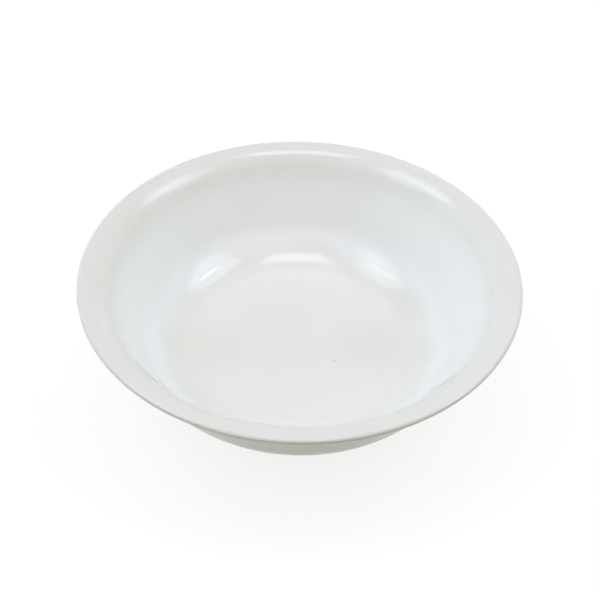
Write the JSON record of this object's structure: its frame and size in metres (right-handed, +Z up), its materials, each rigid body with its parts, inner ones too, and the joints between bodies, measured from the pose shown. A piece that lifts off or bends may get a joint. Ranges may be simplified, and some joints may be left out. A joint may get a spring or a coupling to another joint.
{
  "type": "cereal bowl",
  "caption": "Wide, shallow glazed ceramic bowl with a rounded cove, sloping wall, out-turned lip and foot ring, for cereal, soup or dessert.",
  "frame": {"origin": "on the bowl's axis, in the plane of the foot ring's standing face", "axes": "+Z up along the bowl's axis of rotation; X and Y are any two level directions at right angles"},
  "size_m": [0.16, 0.16, 0.047],
  "materials": {
    "fired_clay": "bare fired white clay, smoothed, matt",
    "white_glaze": "glossy white glaze",
    "base_white_glaze": "glossy white glaze, a little thinner than on the outside"
  },
  "bodies": {
    "root": {"clay_body": "fired_clay", "glaze_coat": "white_glaze", "base_glaze": "base_white_glaze"}
  },
  "joints": []
}
